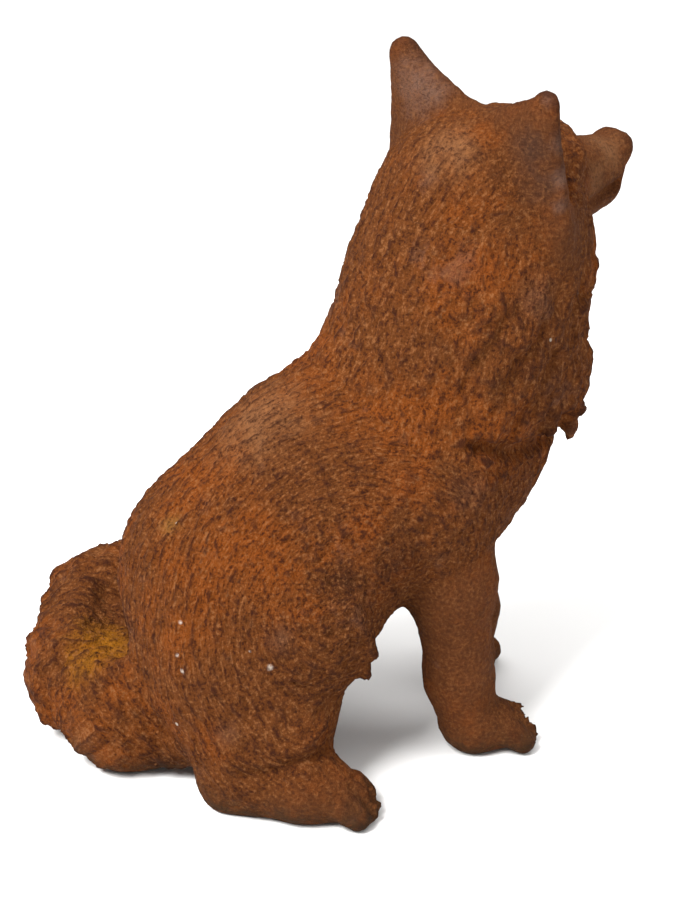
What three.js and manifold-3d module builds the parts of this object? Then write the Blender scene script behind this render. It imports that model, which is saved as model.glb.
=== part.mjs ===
// A seated fox for the garden: one iron casting, modelled as one solid.
// Millimetres, +Z up. The fox faces -Y, so its own left is +X.
import * as THREE from 'three';
import { mergeVertices } from 'three/addons/utils/BufferGeometryUtils.js';
import Module from 'manifold-3d';

// Driving sizes: the head's pose, the coat's locks, the toes and the fineness of the skin.
const HEAD = { forward: 90, left: 6, up: 340, turn: 30, tilt: 8, lift: 6 };
const RUFF = {
  rows: 5, top: 304, drop: 17, step: 24, spread: 112, length: 23, radius: 10, proud: 3, flare: 0.4, reach: 90,
};
const LEDGE = { steps: 14, step: 15, height: 199, rise: 1.5, radius: 5 };
const CHEEK = { locks: 5, length: 22, radius: 10, proud: 6, reach: 70 };
const FRINGE = { locks: 4, length: 11, radius: 7, proud: 2, reach: 80 };
const BRUSH = { rings: 8, locks: 6, length: 24, radius: 11, proud: -2, reach: 54 };
const TOES = { count: 4, pitch: 8, radius: 8, length: 12 };
const CELL = 4;
const TRIANGLES = 9200;
const COAT_SEED = 11;
const SIDES = [1, -1];

// A place on the fox: how far forward, to its left and up.
const at = (forward, left, up) => new THREE.Vector3(left, -forward, up);
const across = at(0, 1, 0);
const down = at(0, 0, -1);

// The head is modelled about the middle of the skull, then turned to the fox's left.
const skull = new THREE.Object3D();
skull.position.copy(at(HEAD.forward, HEAD.left, HEAD.up));
skull.rotation.order = 'ZYX';
skull.rotation.set(
  THREE.MathUtils.degToRad(-HEAD.lift),
  THREE.MathUtils.degToRad(-HEAD.tilt),
  THREE.MathUtils.degToRad(HEAD.turn),
);
skull.updateMatrixWorld(true);
const onHead = (forward, left, up) => skull.localToWorld(at(forward, left, up));
const alongHead = (forward, left, up) => onHead(forward, left, up).sub(skull.position).normalize();

const masses = [];
const cuts = [];

// A tapered limb between two places, pressed thinner along one axis if asked.
function limb(from, to, fromRadius, toRadius, blend, thin = across, ratio = 1) {
  const axis = to.clone().sub(from);
  const lengthSquared = Math.max(axis.lengthSq(), 1e-9);
  const middle = from.clone().add(to).multiplyScalar(0.5);
  const reach = axis.length() / 2 + Math.max(fromRadius, toRadius) + 2 * blend;
  const press = thin.clone().normalize();
  const stretch = 1 / ratio - 1;
  const share = (x, y, z) => {
    const shadow = (x * axis.x + y * axis.y + z * axis.z) / lengthSquared;
    return THREE.MathUtils.clamp(shadow, 0, 1);
  };
  const distance = (x, y, z) => {
    let dx = x - from.x;
    let dy = y - from.y;
    let dz = z - from.z;
    let along = share(dx, dy, dz);
    if (stretch > 0) {
      const offX = (dx - axis.x * along) * press.x;
      const offY = (dy - axis.y * along) * press.y;
      const offZ = (dz - axis.z * along) * press.z;
      const extra = (offX + offY + offZ) * stretch;
      dx += press.x * extra;
      dy += press.y * extra;
      dz += press.z * extra;
      along = share(dx, dy, dz);
    }
    const radius = fromRadius + (toRadius - fromRadius) * along;
    return (Math.hypot(dx - axis.x * along, dy - axis.y * along, dz - axis.z * along) - radius) * ratio;
  };
  return { distance, blend, middle, reach };
}

// A run of limbs through stations of place and radius.
function chain(stations, blend) {
  for (let i = 0; i + 1 < stations.length; i += 1) {
    const [from, fromRadius] = stations[i];
    const [to, toRadius] = stations[i + 1];
    masses.push(limb(from, to, fromRadius, toRadius, blend));
  }
}

// Two surfaces run together with a soft joint.
function smoothMin(a, b, blend) {
  const near = Math.max(blend - Math.abs(a - b), 0) / blend;
  return Math.min(a, b) - near * near * blend * 0.25;
}

// Distance from the fox's skin, less than nothing inside.
function field(x, y, z) {
  let depth = 1e6;
  for (const { distance, blend, middle, reach } of masses) {
    const dx = x - middle.x;
    const dy = y - middle.y;
    const dz = z - middle.z;
    const far = Math.sqrt(dx * dx + dy * dy + dz * dz) - reach;
    if (far < 40) {
      depth = smoothMin(depth, distance(x, y, z), blend);
    }
  }
  for (const { distance, blend } of cuts) {
    depth = -smoothMin(-depth, distance(x, y, z), blend);
  }
  return Math.min(depth, 40);
}

// Where a line from inside the fox comes out through its skin.
function surface(inside, direction, reach) {
  let near = 0;
  let far = reach;
  for (let i = 0; i < 20; i += 1) {
    const middle = (near + far) / 2;
    const p = inside.clone().addScaledVector(direction, middle);
    if (field(p.x, p.y, p.z) < 0) {
      near = middle;
    } else {
      far = middle;
    }
  }
  return inside.clone().addScaledVector(direction, near);
}

// One lock of coat: rooted in the skin, lying roughly along the flow, its tip a little proud.
function lock(inside, direction, flow, size) {
  const vary = (spread) => 1 + spread * (2 * THREE.MathUtils.seededRandom() - 1);
  const lean = flow.clone().addScaledVector(direction.clone().cross(flow), vary(0.4) - 1).normalize();
  const radius = size.radius * vary(0.25);
  const root = surface(inside, direction, size.reach).addScaledVector(direction, -radius * 0.6);
  const tip = root.clone().addScaledVector(lean, size.length * vary(0.3));
  tip.addScaledVector(direction, size.proud * vary(0.6));
  return limb(root, tip, radius, radius * 0.45, 5);
}

// A paw: a pad from heel to ball, and a row of toes with clefts between them.
function paw(heel, ball, heelRadius, ballRadius) {
  const ahead = ball.clone().sub(heel).setZ(0).normalize();
  const sideways = new THREE.Vector3(-ahead.y, ahead.x, 0);
  masses.push(limb(heel, ball, heelRadius, ballRadius, 10));
  for (let i = 0; i < TOES.count; i += 1) {
    const offset = i - (TOES.count - 1) / 2;
    const root = ball.clone().addScaledVector(sideways, offset * TOES.pitch);
    const tip = root.clone().addScaledVector(ahead, TOES.length - 2 * offset * offset).setZ(TOES.radius);
    masses.push(limb(root, tip, TOES.radius + 1, TOES.radius, 2));
  }
}

// Trunk from the pelvis up to the nape.
chain([
  [at(-60, 0, 72), 62],
  [at(-48, 0, 117), 70],
  [at(3, 0, 165), 69],
  [at(52, 0, 197), 64.5],
  [at(72, 0, 262), 58.5],
  [at(83, 2, 304), 55],
  [at(93, 5, 330), 46],
], 30);

// Chest and the mass under the ruff.
chain([
  [at(98, 6, 292), 50],
  [at(111, 2, 240), 40],
  [at(101, 0, 192), 28],
  [at(88, 0, 148), 27],
], 24);

// Thighs, shanks and hind feet.
for (const side of SIDES) {
  masses.push(limb(at(-52, 50 * side, 80), at(-33, 58 * side, 100), 58, 42, 22, across, 0.7));
  masses.push(limb(at(-58, 60 * side, 40), at(-44, 69 * side, 46), 36, 28, 18));
  masses.push(limb(at(-72, 63 * side, 14), at(-34, 84 * side, 20), 20, 21, 12));
  paw(at(-34, 84 * side, 18), at(-10, 94 * side, 14), 20, 16);
}

// Forelegs: the left one stands ahead and turns its paw outward.
chain([
  [at(54, -34, 185), 38],
  [at(68, -37, 115), 25],
  [at(74, -39, 50), 19],
  [at(80, -40, 20), 18],
], 13);
paw(at(86, -41, 15), at(105, -43, 14), 18, 15);
chain([
  [at(64, 34, 185), 38],
  [at(91, 35, 115), 23],
  [at(103, 34, 55), 18],
  [at(102, 34, 20), 18],
], 13);
paw(at(104, 38, 15), at(112, 53, 13), 18, 15);

// Tail, from the rump round to the fox's left.
masses.push(limb(at(-98, -22, 24), at(-118, -4, 26), 20, 26, 14));
const tail = [
  [at(-104, -6, 60), 28],
  [at(-126, 4, 34), 36],
  [at(-141, 48, 36), 37],
  [at(-119, 102, 43), 41],
  [at(-74, 124, 38), 33],
  [at(-30, 122, 24), 16],
];
chain(tail, 14);

// Skull, muzzle, jaw and nose.
masses.push(limb(onHead(-4, 0, 1), onHead(24, 0, 2), 49, 41, 26));
masses.push(limb(onHead(40, 0, -9), onHead(108, 0, -14), 28, 18, 18));
masses.push(limb(onHead(44, 0, -32), onHead(107, 0, -27), 20, 16, 12));
masses.push(limb(onHead(123, -4, -6), onHead(123, 4, -6), 10, 10, 4));

// Cheeks, brows, eyes, ears and mouth.
for (const side of SIDES) {
  masses.push(limb(onHead(6, 32 * side, -18), onHead(32, 29 * side, -32), 30, 25, 20));
  masses.push(limb(onHead(56, 10 * side, 21), onHead(44, 30 * side, 19), 10, 10, 8));
  const face = alongHead(1, 0.15 * side, 0);
  masses.push(limb(onHead(-4, 12 * side, 37), onHead(-8, 50 * side, 70), 19, 5, 6, face, 0.55));
  masses.push(limb(onHead(-4, 30 * side, 32), onHead(-8, 52 * side, 70), 23, 6, 6, face, 0.55));
  masses.push(limb(onHead(3, 48 * side, 4), onHead(-8, 55 * side, 68), 21, 6, 8, face, 0.55));
  cuts.push(limb(onHead(16, 42 * side, 16), onHead(4, 51 * side, 54), 11, 5, 5, face, 0.6));
  cuts.push(limb(onHead(64, 20 * side, 6), onHead(56, 27 * side, 6), 7, 6, 4));
  cuts.push(limb(onHead(66, 25 * side, -26), onHead(116, 14 * side, -21), 4, 3, 4));
}

// The groove that undercuts the lower edge of the ruff, low in front and rising to the sides.
const groove = [];
for (let i = 0; i <= LEDGE.steps; i += 1) {
  const angle = THREE.MathUtils.degToRad(LEDGE.step * (i - LEDGE.steps / 2));
  const height = LEDGE.height + LEDGE.rise * angle ** 4;
  groove.push(surface(at(90, 4, height), at(Math.cos(angle), Math.sin(angle), 0), RUFF.reach));
}

// Locks of coat, all laid on the bare form before any is joined to it.
const locks = [];
THREE.MathUtils.seededRandom(COAT_SEED);
for (let row = 0; row < RUFF.rows; row += 1) {
  const height = RUFF.top - row * RUFF.drop;
  const spread = RUFF.spread * (1 - 0.02 * row);
  const size = { ...RUFF, proud: RUFF.proud + RUFF.flare * row };
  for (let turn = (row % 2) * RUFF.step * 0.5 - spread; turn <= spread; turn += RUFF.step) {
    const angle = THREE.MathUtils.degToRad(turn + HEAD.turn * 0.4 * (1 - row / RUFF.rows));
    const outward = at(Math.cos(angle), Math.sin(angle), -0.15).normalize();
    const flow = at(Math.cos(angle) - 1, Math.sin(angle) * 0.3, -2).normalize();
    locks.push(lock(at(90, 4, height), outward, flow, size));
  }
}
for (const side of SIDES) {
  for (let i = 0; i < CHEEK.locks; i += 1) {
    const outward = alongHead(0.75 - 0.3 * i, side, -0.55 - 0.12 * i);
    locks.push(lock(onHead(8, 18 * side, -18), outward, alongHead(-0.5, 0.15 * side, -1), CHEEK));
  }
  for (let i = 0; i < FRINGE.locks; i += 1) {
    const angle = THREE.MathUtils.degToRad(52 - 15 * i);
    const outward = at(Math.cos(angle), 0.55 * side, Math.sin(angle)).normalize();
    locks.push(lock(at(-40, 46 * side, 84), outward, at(0.5, 0.1 * side, -1).normalize(), FRINGE));
  }
}
const brush = new THREE.CatmullRomCurve3(tail.map(([place]) => place));
for (let ring = 0; ring < BRUSH.rings; ring += 1) {
  const share = 0.3 + (0.6 * ring) / (BRUSH.rings - 1);
  const middle = brush.getPointAt(share);
  const along = brush.getTangentAt(share);
  const outside = along.clone().cross(down).normalize();
  for (let i = 0; i < BRUSH.locks; i += 1) {
    const angle = THREE.MathUtils.degToRad(-25 + 26 * i + 13 * (ring % 2));
    const outward = outside.clone().multiplyScalar(Math.cos(angle)).addScaledVector(down, -Math.sin(angle));
    const round = outside.clone().multiplyScalar(Math.sin(angle)).addScaledVector(down, Math.cos(angle));
    const flow = along.clone().multiplyScalar(0.8).addScaledVector(round, 0.4).normalize();
    locks.push(lock(middle, outward, flow, BRUSH));
  }
}
masses.push(...locks);
for (let i = 0; i < LEDGE.steps; i += 1) {
  cuts.push(limb(groove[i], groove[i + 1], LEDGE.radius, LEDGE.radius, 4));
}

// The hollow that the brush curls round, beside the rump.
cuts.push(limb(at(-126, 11, 84), at(-118, 56, 88), 19, 22, 12));

// The skin where the field passes through nothing, drawn over cubes cut into six tetrahedra.
function skin(low, high, cell) {
  const size = high.clone().sub(low).divideScalar(cell).ceil().addScalar(1);
  const layer = size.x * size.y;
  const total = layer * size.z;
  const place = (node) => {
    const row = Math.floor(node / size.x);
    const steps = new THREE.Vector3(node % size.x, row % size.y, Math.floor(row / size.y));
    return steps.multiplyScalar(cell).add(low);
  };
  const depth = new Float64Array(total);
  for (let node = 0; node < total; node += 1) {
    const { x, y, z } = place(node);
    depth[node] = field(x, y, z);
  }
  const points = [];
  const faces = [];
  const crossings = new Map();
  const crossing = (inside, outside) => {
    const key = Math.min(inside, outside) * total + Math.max(inside, outside);
    if (!crossings.has(key)) {
      const share = THREE.MathUtils.clamp(depth[inside] / (depth[inside] - depth[outside]), 0.05, 0.95);
      crossings.set(key, points.length);
      points.push(place(inside).lerp(place(outside), share));
    }
    return crossings.get(key);
  };
  const addFace = (a, b, c, behind) => {
    const normal = points[b].clone().sub(points[a]).cross(points[c].clone().sub(points[a]));
    faces.push(normal.dot(behind.clone().sub(points[a])) < 0 ? [a, b, c] : [a, c, b]);
  };
  const stepTo = (corner) => (corner & 1) + ((corner >> 1) & 1) * size.x + (corner >> 2) * layer;
  const corners = Array.from({ length: 8 }, (_, corner) => stepTo(corner));
  const paths = [[1, 3], [1, 5], [2, 3], [2, 6], [4, 5], [4, 6]];
  const tetrahedra = paths.map(([first, second]) => [0, first, second, 7].map(stepTo));
  for (let node = 0; node < total - corners[7]; node += 1) {
    const count = corners.filter((step) => depth[node + step] < 0).length;
    if (count > 0 && count < 8) {
      for (const tetrahedron of tetrahedra) {
        const nodes = tetrahedron.map((step) => node + step);
        const inside = nodes.filter((q) => depth[q] < 0);
        const outside = nodes.filter((q) => depth[q] >= 0);
        const rim = inside.flatMap((q) => outside.map((r) => crossing(q, r)));
        if (rim.length > 0) {
          addFace(rim[0], rim[1], rim[2], place(inside[0]));
        }
        if (rim.length === 4) {
          addFace(rim[1], rim[3], rim[2], place(inside[0]));
        }
      }
    }
  }
  return { points, faces };
}

// Squared distance from a set of planes, kept as one sum of ten numbers.
function planeSum(normal, offset, weight) {
  const plane = [normal.x, normal.y, normal.z, offset];
  const sum = [];
  for (let i = 0; i < 4; i += 1) {
    for (let j = i; j < 4; j += 1) {
      sum.push(plane[i] * plane[j] * weight);
    }
  }
  return sum;
}

function planeError(sum, { x, y, z }) {
  const square = sum[0] * x * x + sum[4] * y * y + sum[7] * z * z;
  const mixed = sum[1] * x * y + sum[2] * x * z + sum[5] * y * z;
  return square + 2 * mixed + 2 * (sum[3] * x + sum[6] * y + sum[8] * z) + sum[9];
}

// The place nearest to all the planes of a sum, or the given middle where they meet too far off.
function planeMeeting(sum, middle, limit) {
  const matrix = new THREE.Matrix3(sum[0], sum[1], sum[2], sum[1], sum[4], sum[5], sum[2], sum[5], sum[7]);
  const trace = sum[0] + sum[4] + sum[7];
  if (Math.abs(matrix.determinant()) < 1e-4 * trace * trace * trace) {
    return middle;
  }
  const meeting = new THREE.Vector3(-sum[3], -sum[6], -sum[8]).applyMatrix3(matrix.invert());
  return meeting.distanceTo(middle) < limit ? meeting : middle;
}

// A heap of edges, cheapest first.
class Queue {
  constructor() {
    this.items = [];
  }

  push(item) {
    const { items } = this;
    let child = items.length;
    items.push(item);
    while (child > 0 && items[(child - 1) >> 1].cost > item.cost) {
      items[child] = items[(child - 1) >> 1];
      child = (child - 1) >> 1;
    }
    items[child] = item;
  }

  pop() {
    const { items } = this;
    const first = items[0];
    const last = items.pop();
    const cheaperChild = (parent) => {
      const child = 2 * parent + 1;
      return child + 1 < items.length && items[child + 1].cost < items[child].cost ? child + 1 : child;
    };
    let parent = 0;
    let child = cheaperChild(0);
    while (child < items.length && items[child].cost < last.cost) {
      items[parent] = items[child];
      parent = child;
      child = cheaperChild(parent);
    }
    if (items.length > 0) {
      items[parent] = last;
    }
    return first;
  }
}

// Fewer facets: the edge whose loss moves the skin least is closed up, again and again.
function thinned(points, faces, target) {
  const normalOf = (a, b, c) => b.clone().sub(a).cross(c.clone().sub(a));
  const around = points.map(() => new Set());
  const sums = points.map(() => new Array(10).fill(0));
  const stamps = points.map(() => 0);
  faces.forEach((face, index) => {
    const normal = normalOf(...face.map((p) => points[p]));
    const area = Math.max(normal.length(), 1e-9);
    normal.divideScalar(area);
    const sum = planeSum(normal, -normal.dot(points[face[0]]), area);
    for (const p of face) {
      around[p].add(index);
      sums[p] = sums[p].map((value, i) => value + sum[i]);
    }
  });
  const neighbours = (p) => {
    const found = new Set([...around[p]].flatMap((index) => faces[index]));
    found.delete(p);
    return found;
  };
  const queue = new Queue();
  const offer = (a, b) => {
    const sum = sums[a].map((value, i) => value + sums[b][i]);
    const length = points[a].distanceTo(points[b]);
    const place = planeMeeting(sum, points[a].clone().lerp(points[b], 0.5), length);
    const cost = planeError(sum, place) + 1e-3 * length * length;
    queue.push({ cost, a, b, place, sum, stampA: stamps[a], stampB: stamps[b] });
  };
  const turnsOver = (moved, gone, place) => [...around[moved]].some((index) => {
    const face = faces[index];
    if (face.includes(gone)) {
      return false;
    }
    const before = normalOf(...face.map((p) => points[p]));
    const after = normalOf(...face.map((p) => (p === moved ? place : points[p])));
    return before.dot(after) < 0.3 * before.length() * after.length() || after.length() < 0.2;
  });
  const close = (a, b, place, sum) => {
    let lost = 0;
    for (const index of [...around[b]]) {
      const face = faces[index];
      if (face.includes(a)) {
        face.forEach((p) => around[p].delete(index));
        faces[index] = null;
        lost += 1;
      } else {
        face[face.indexOf(b)] = a;
        around[a].add(index);
      }
    }
    around[b].clear();
    points[a] = place;
    sums[a] = sum;
    stamps[a] += 1;
    stamps[b] = -1;
    neighbours(a).forEach((p) => offer(a, p));
    return lost;
  };
  for (const [a, b, c] of faces) {
    [[a, b], [b, c], [c, a]].filter(([from, to]) => from < to).forEach(([from, to]) => offer(from, to));
  }
  let count = faces.length;
  while (count > target && queue.items.length > 0) {
    const { a, b, place, sum, stampA, stampB } = queue.pop();
    if (stamps[a] === stampA && stamps[b] === stampB) {
      const ring = neighbours(b);
      const shared = [...neighbours(a)].filter((p) => ring.has(p));
      if (shared.length === 2 && !turnsOver(a, b, place) && !turnsOver(b, a, place)) {
        count -= close(a, b, place, sum);
      }
    }
  }
  return faces.filter((face) => face !== null);
}

// The whole fox: skinned, thinned, cut level under its feet and tail, and set over the origin.
const wasm = await Module();
wasm.setup();

function solidOf(vertices, triangles) {
  const vertProperties = new Float32Array(vertices);
  const triVerts = new Uint32Array(triangles);
  return new wasm.Manifold(new wasm.Mesh({ numProp: 3, vertProperties, triVerts }));
}

function foxGeometry() {
  const { points, faces } = skin(at(212, -130, -22), at(-206, 186, 446), CELL);
  const kept = thinned(points, faces, TRIANGLES).flat();
  const numbers = [...new Set(kept)];
  const order = new Map(numbers.map((point, index) => [point, index]));
  const body = solidOf(numbers.flatMap((p) => points[p].toArray()), kept.map((p) => order.get(p)));
  const ground = new THREE.BoxGeometry(900, 900, 100).translate(0, 0, -50);
  ground.deleteAttribute('normal');
  ground.deleteAttribute('uv');
  const floor = mergeVertices(ground);
  const levelled = body.subtract(solidOf(floor.attributes.position.array, floor.index.array)).getMesh();
  const geometry = new THREE.BufferGeometry();
  geometry.setAttribute('position', new THREE.Float32BufferAttribute(levelled.vertProperties, 3));
  geometry.setIndex(Array.from(levelled.triVerts));
  geometry.computeBoundingBox();
  const middle = geometry.boundingBox.getCenter(new THREE.Vector3());
  geometry.translate(-middle.x, -middle.y, 0);
  geometry.computeVertexNormals();
  return geometry;
}

const rust = new THREE.MeshStandardMaterial({ color: 0x6b3a1e, roughness: 0.9, metalness: 0.2 });
rust.name = 'rusted_iron';
const fox = new THREE.Mesh(foxGeometry(), rust);
fox.name = 'fox';
const statue = new THREE.Group();
statue.add(fox);
export default statue;
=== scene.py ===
"""A rusted cast-iron fox, sitting with its head turned aside, on a plain pale floor."""

import logging
import math
from collections.abc import Callable
from dataclasses import dataclass, field
from enum import Enum

import bpy
import numpy as np
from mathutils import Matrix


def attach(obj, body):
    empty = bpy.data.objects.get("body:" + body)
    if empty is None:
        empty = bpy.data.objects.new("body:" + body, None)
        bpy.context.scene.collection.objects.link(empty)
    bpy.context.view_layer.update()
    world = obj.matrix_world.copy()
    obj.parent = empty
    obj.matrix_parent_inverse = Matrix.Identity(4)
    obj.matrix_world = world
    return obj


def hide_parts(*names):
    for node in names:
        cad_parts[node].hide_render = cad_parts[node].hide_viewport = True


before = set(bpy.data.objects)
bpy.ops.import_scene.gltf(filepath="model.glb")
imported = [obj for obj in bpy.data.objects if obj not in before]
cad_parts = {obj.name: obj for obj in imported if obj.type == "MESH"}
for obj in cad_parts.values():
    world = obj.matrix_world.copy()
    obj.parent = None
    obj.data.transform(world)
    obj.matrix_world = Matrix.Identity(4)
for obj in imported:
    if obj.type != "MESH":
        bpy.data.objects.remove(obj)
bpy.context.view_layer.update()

import openvdb
from mathutils import Euler, Matrix, Vector

NODE = "fox"
MM = 0.001
SIDES = (1.0, -1.0)

log = logging.getLogger("fox")

Place = np.ndarray


class Hide(Enum):
    """The parts of the coat, each with its own lie of hair."""

    FLANK = 0
    NECK = 1
    HEAD = 2
    EAR = 3
    LEG = 4
    BRUSH = 5
    MUZZLE = 6


def at(forward: float, left: float, up: float) -> Place:
    """Gives a place on the fox in millimetres, from how far forward, left and up it is."""
    return np.array([left, -forward, up], dtype=float)


def unit(vector: Place) -> Place:
    """Gives the vector at length one."""
    return vector / max(float(np.linalg.norm(vector)), 1e-9)


@dataclass(frozen=True)
class Pose:
    """How the head is carried: its middle in millimetres and its angles in degrees."""

    forward: float = 90.0
    left: float = 6.0
    up: float = 340.0
    turn: float = 30.0
    tilt: float = 8.0
    lift: float = 6.0

    def matrix(self) -> Matrix:
        """Gives the head's own frame as a matrix in millimetres."""
        angles = [math.radians(-self.lift), math.radians(-self.tilt), math.radians(self.turn)]
        turn = Euler(angles, "XYZ").to_matrix().to_4x4()
        return Matrix.Translation(Vector(at(self.forward, self.left, self.up))) @ turn

    def place(self, forward: float, left: float, up: float) -> Place:
        """Gives a place on the head, told from the middle of the skull."""
        return np.array(self.matrix() @ Vector(at(forward, left, up)))

    def direction(self, forward: float, left: float, up: float) -> Place:
        """Gives a direction told in the head's own frame."""
        return unit(self.place(forward, left, up) - self.place(0.0, 0.0, 0.0))


@dataclass(frozen=True)
class Limb:
    """A tapered round mass between two places, pressed thinner along one axis if asked."""

    start: Place
    end: Place
    start_radius: float
    end_radius: float
    blend: float
    thin: Place = field(default_factory=lambda: at(0.0, 1.0, 0.0))
    ratio: float = 1.0

    def box(self, spare: float) -> tuple[Place, Place]:
        """Gives the lowest and highest corner of the space that the limb can change."""
        reach = max(self.start_radius, self.end_radius) + spare
        return np.minimum(self.start, self.end) - reach, np.maximum(self.start, self.end) + reach

    def depth(self, x: np.ndarray, y: np.ndarray, z: np.ndarray) -> np.ndarray:
        """Gives the distance of places from the limb's skin, less than nothing inside.

        Args:
            x: Left, one value a place.
            y: Backward, one value a place.
            z: Up, one value a place.

        Returns:
            The distances in millimetres.
        """
        axis = (self.end - self.start).astype(np.float32)
        square = max(float(axis @ axis), 1e-6)
        dx, dy, dz = (value - np.float32(origin) for value, origin in zip((x, y, z), self.start))
        along = np.clip((dx * axis[0] + dy * axis[1] + dz * axis[2]) / square, 0.0, 1.0)
        if self.ratio < 1.0:
            press = unit(self.thin).astype(np.float32)
            off = dx * press[0] + dy * press[1] + dz * press[2] - along * float(axis @ press)
            off = off * np.float32(1.0 / self.ratio - 1.0)
            dx, dy, dz = dx + press[0] * off, dy + press[1] * off, dz + press[2] * off
            along = np.clip((dx * axis[0] + dy * axis[1] + dz * axis[2]) / square, 0.0, 1.0)
        radius = self.start_radius + (self.end_radius - self.start_radius) * along
        ex, ey, ez = dx - axis[0] * along, dy - axis[1] * along, dz - axis[2] * along
        return (np.sqrt(ex * ex + ey * ey + ez * ez) - radius) * self.ratio


def smooth_min(a: np.ndarray, b: np.ndarray, blend: float) -> np.ndarray:
    """Runs two surfaces together with a soft joint.

    Args:
        a: Distances from the first surface.
        b: Distances from the second surface.
        blend: Width of the joint.

    Returns:
        Distances from the joined surface.
    """
    near = np.maximum(blend - np.abs(a - b), 0.0) / blend
    return np.minimum(a, b) - near * near * (blend * 0.25)


class Scatter:
    """A steady run of numbers between nothing and one, for the locks' lie."""

    def __init__(self, seed: int) -> None:
        """Starts the run at a seed."""
        self.state = seed
        self.next()

    def next(self) -> float:
        """Gives the next number."""
        mask = 0xFFFFFFFF
        self.state = (self.state + 0x6D2B79F5) & mask
        t = ((self.state ^ (self.state >> 15)) * (self.state | 1)) & mask
        t ^= (t + (((t ^ (t >> 7)) * (t | 61)) & mask)) & mask
        return ((t ^ (t >> 14)) & mask) / 4294967296.0

    def vary(self, spread: float) -> float:
        """Gives a factor near one, up or down by at most the spread."""
        return 1.0 + spread * (2.0 * self.next() - 1.0)


class Clay:
    """The space the fox is modelled in: distances from its skin on an even grid."""

    def __init__(self, low: Place, high: Place, cell: float) -> None:
        """Takes the space's corners and the grid's spacing in millimetres."""
        self.low = low
        self.cell = cell
        self.count = np.ceil((high - low) / cell).astype(int) + 1
        self.depth = np.full(tuple(self.count), 900.0, dtype=np.float32)

    def _patch(self, limb: Limb) -> tuple[tuple[slice, ...], list[np.ndarray]]:
        """Gives the part of the grid that a limb can change.

        Args:
            limb: The limb to be added or cut.

        Returns:
            The grid's slices and the open mesh of coordinates there.
        """
        low, high = limb.box(1.3 * limb.blend + 2.0 * self.cell)
        first = np.clip(np.floor((low - self.low) / self.cell).astype(int), 0, self.count)
        last = np.clip(np.ceil((high - self.low) / self.cell).astype(int) + 1, 0, self.count)
        steps = [self.low[i] + self.cell * np.arange(first[i], last[i]) for i in range(3)]
        mesh = np.meshgrid(*[s.astype(np.float32) for s in steps], indexing="ij", sparse=True)
        return tuple(slice(a, b) for a, b in zip(first, last)), mesh

    def add(self, limb: Limb) -> None:
        """Joins a limb to the fox."""
        patch, (x, y, z) = self._patch(limb)
        self.depth[patch] = smooth_min(self.depth[patch], limb.depth(x, y, z), limb.blend)

    def cut(self, limb: Limb) -> None:
        """Takes a limb's shape out of the fox."""
        patch, (x, y, z) = self._patch(limb)
        self.depth[patch] = -smooth_min(-self.depth[patch], limb.depth(x, y, z), limb.blend)

    def level(self) -> None:
        """Cuts the fox level at the ground."""
        height = self.low[2] + self.cell * np.arange(self.count[2], dtype=np.float32)
        self.depth = np.maximum(self.depth, -height[None, None, :])

    def sample(self, places: np.ndarray) -> np.ndarray:
        """Reads the distance from the skin at any places.

        Args:
            places: One row of three millimetres a place.

        Returns:
            One distance a place.
        """
        spot = np.clip((places - self.low) / self.cell, 0.0, self.count - 1.001)
        base = np.floor(spot).astype(int)
        part = spot - base
        total = np.zeros(len(places))
        for corner in range(8):
            bit = np.array([corner & 1, (corner >> 1) & 1, corner >> 2])
            weight = np.prod(np.where(bit, part, 1.0 - part), axis=1)
            total += weight * self.depth[tuple((base + bit).T)]
        return total

    def surface(self, inside: Place, direction: Place, reach: float) -> Place:
        """Finds where a line from inside the fox comes out through its skin.

        Args:
            inside: Where the line starts.
            direction: Where it goes, at length one.
            reach: How far it may go.

        Returns:
            The place on the skin.
        """
        near, far = 0.0, reach
        for _ in range(20):
            middle = (near + far) / 2.0
            if self.sample((inside + direction * middle)[None])[0] < 0.0:
                near = middle
            else:
                far = middle
        return inside + direction * near

    def skin(self) -> tuple[np.ndarray, np.ndarray]:
        """Draws the skin as four-sided faces.

        Returns:
            The points in millimetres, and the faces as rows of four point numbers.
        """
        grid = openvdb.FloatGrid(background=900.0)
        grid.copyFromArray(self.depth)
        points, quads = grid.convertToQuads(isovalue=0.0)
        return points * self.cell + self.low, quads[:, ::-1]


@dataclass(frozen=True)
class Tuft:
    """One kind of lock: how long, thick and proud it is, in millimetres."""

    length: float
    radius: float
    proud: float
    reach: float


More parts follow.
